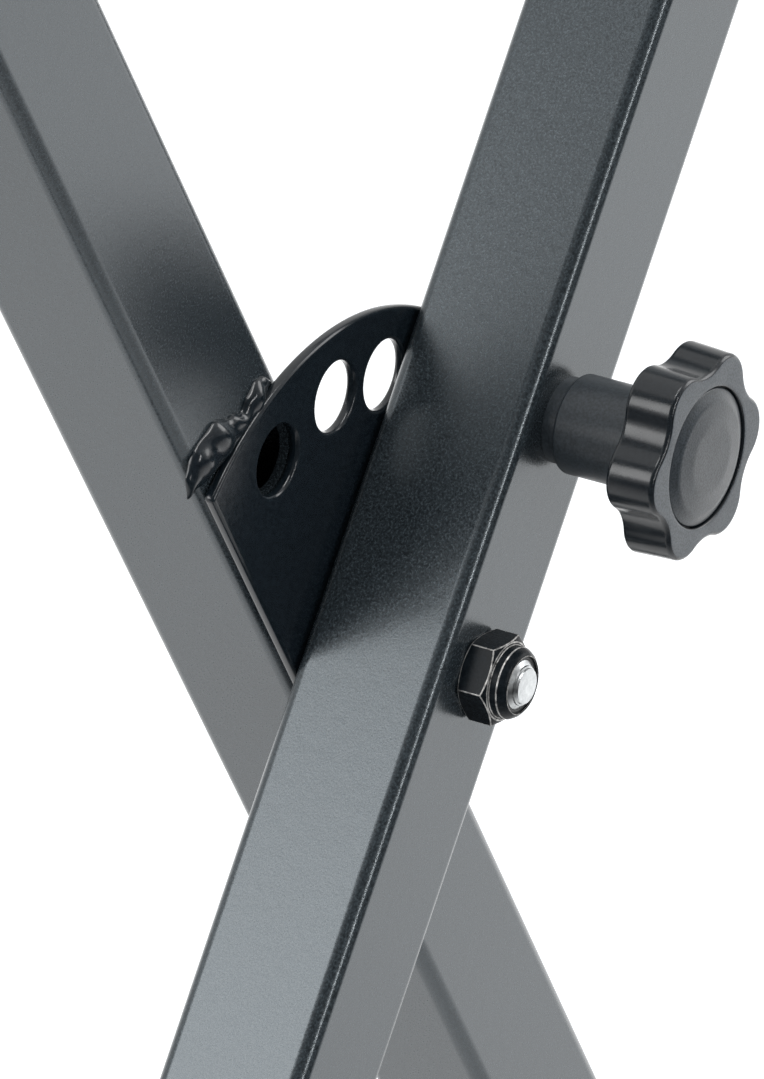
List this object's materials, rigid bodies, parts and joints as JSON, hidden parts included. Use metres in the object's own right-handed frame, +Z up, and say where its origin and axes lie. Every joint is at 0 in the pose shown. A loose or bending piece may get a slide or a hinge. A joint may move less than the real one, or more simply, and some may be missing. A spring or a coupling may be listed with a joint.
{
  "type": "folding keyboard stand",
  "caption": "Folding X-shaped keyboard stand: two square steel legs crossing at a pivot, a sector plate with a spring pin and star knob, round rubber-capped foot and arm bars.",
  "frame": {"origin": "on the floor under the middle of the stand: bottom centre of its bounding box", "axes": "+Z up; the legs open and close in the XZ plane, the near leg leaning to +X going up; the knob and nut are on the -Y side, and Y = 0 lies midway between the two legs"},
  "size_m": [0.5874, 0.448, 0.8163],
  "materials": {
    "powder_coat": "satin black powder coat with a fine grain",
    "black_gloss_paint": "glossy black paint",
    "black_nut": "black coated steel",
    "zinc_steel": "bright zinc plate",
    "nylon": "nylon",
    "knob_plastic": "black moulded plastic",
    "guide_plastic": "satin black plastic",
    "rubber": "matt black rubber"
  },
  "bodies": {
    "near_leg": {"gap_washer": "nylon", "lock_guide": "guide_plastic", "lock_spring": "zinc_steel", "near_arm_bar": "powder_coat", "near_arm_bolts": "zinc_steel", "near_arm_saddle": "powder_coat", "near_arm_sleeve_back": "rubber", "near_arm_sleeve_front": "rubber", "near_foot_bar": "powder_coat", "near_foot_bolts": "zinc_steel", "near_foot_cap_back": "rubber", "near_foot_cap_front": "rubber", "near_foot_saddle": "powder_coat", "near_leg_tube": "powder_coat", "near_spacer": "zinc_steel", "pivot_bolt": "zinc_steel", "pivot_nut": "black_nut", "pivot_nut_ring": "nylon", "rear_washer": "zinc_steel"},
    "far_leg": {"far_arm_bar": "powder_coat", "far_arm_bolts": "zinc_steel", "far_arm_saddle": "powder_coat", "far_arm_sleeve_back": "rubber", "far_arm_sleeve_front": "rubber", "far_foot_bar": "powder_coat", "far_foot_bolts": "zinc_steel", "far_foot_cap_back": "rubber", "far_foot_cap_front": "rubber", "far_foot_saddle": "powder_coat", "far_leg_tube": "powder_coat", "far_spacer": "zinc_steel", "sector_plate": "black_gloss_paint", "weld_beads": "black_gloss_paint"},
    "lock_pin": {"lock_pin": "zinc_steel", "lock_pin_clip": "zinc_steel"},
    "lock_knob": {"lock_knob": "knob_plastic", "lock_knob_cap": "knob_plastic"}
  },
  "joints": [
    {"name": "fold_hinge", "type": "hinge", "parent": "near_leg", "child": "far_leg", "pos_m": [0, 0, 0.43352], "axis": [0, 1, 0], "range_deg": [-19.45, 62.65]},
    {"name": "lock_slide", "type": "slide", "parent": "near_leg", "child": "lock_pin", "axis": [0, -1, 0], "range_m": [-0.0045, 0], "deforming": ["lock_spring"]},
    {"name": "knob_turn", "type": "hinge", "parent": "lock_pin", "child": "lock_knob", "pos_m": [0.02325, -0.02615, 0.46862], "axis": [0, -1, 0], "continuous": true}
  ]
}
